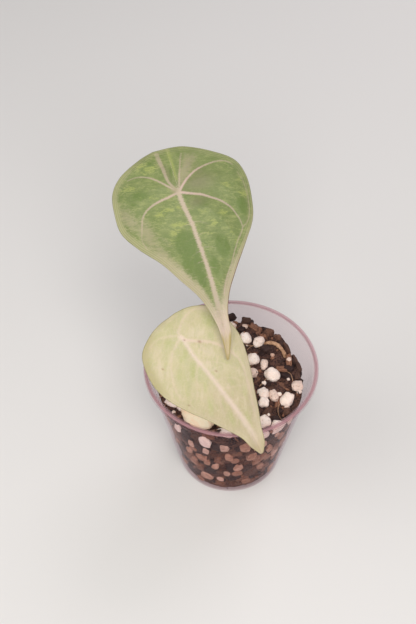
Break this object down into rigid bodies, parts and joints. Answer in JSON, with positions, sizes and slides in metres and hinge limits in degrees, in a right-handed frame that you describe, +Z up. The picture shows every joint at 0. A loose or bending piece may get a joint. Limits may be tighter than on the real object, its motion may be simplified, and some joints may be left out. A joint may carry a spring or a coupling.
{
  "type": "potted maharani alocasia",
  "caption": "Young aroid house plant: mottled green and cream peltate leaves with long drip tips, on petioles from a corm in chunky perlite mix, in a clear tapered nursery cup.",
  "frame": {"origin": "middle of the flat underside of the cup's base", "axes": "+Z up, along the cup's axis and the height of the plant; the leaf tips hang towards -Y; +X to the right seen from there"},
  "size_m": [0.0834, 0.0846, 0.1611],
  "materials": {
    "cup_plastic": "clear thin formed plastic, glossy, faint lilac highlights along the rim",
    "potting_mix": "coarse dark bark and coir with white perlite grains, matt",
    "pale_stone": "rough pale tan grit stone, matt",
    "surface_root": "dry fibrous yellow-brown root skin",
    "corm": "tan corm skin with pale fleshy roots",
    "petiole": "smooth pale green stalk, faint streaks, satin",
    "blade_green": "thick leathery leaf, green mottled yellow-green, pale pinkish veins, satin",
    "blade_cream": "thick leathery leaf, cream with soft yellow-green clouds, satin"
  },
  "bodies": {
    "root": {"cup": "cup_plastic", "potting_mix": "potting_mix", "pale_stone": "pale_stone", "surface_root": "surface_root", "corm_and_roots": "corm", "petiole_upper": "petiole", "petiole_lower": "petiole", "blade_upper": "blade_green", "blade_lower": "blade_cream"}
  },
  "joints": []
}
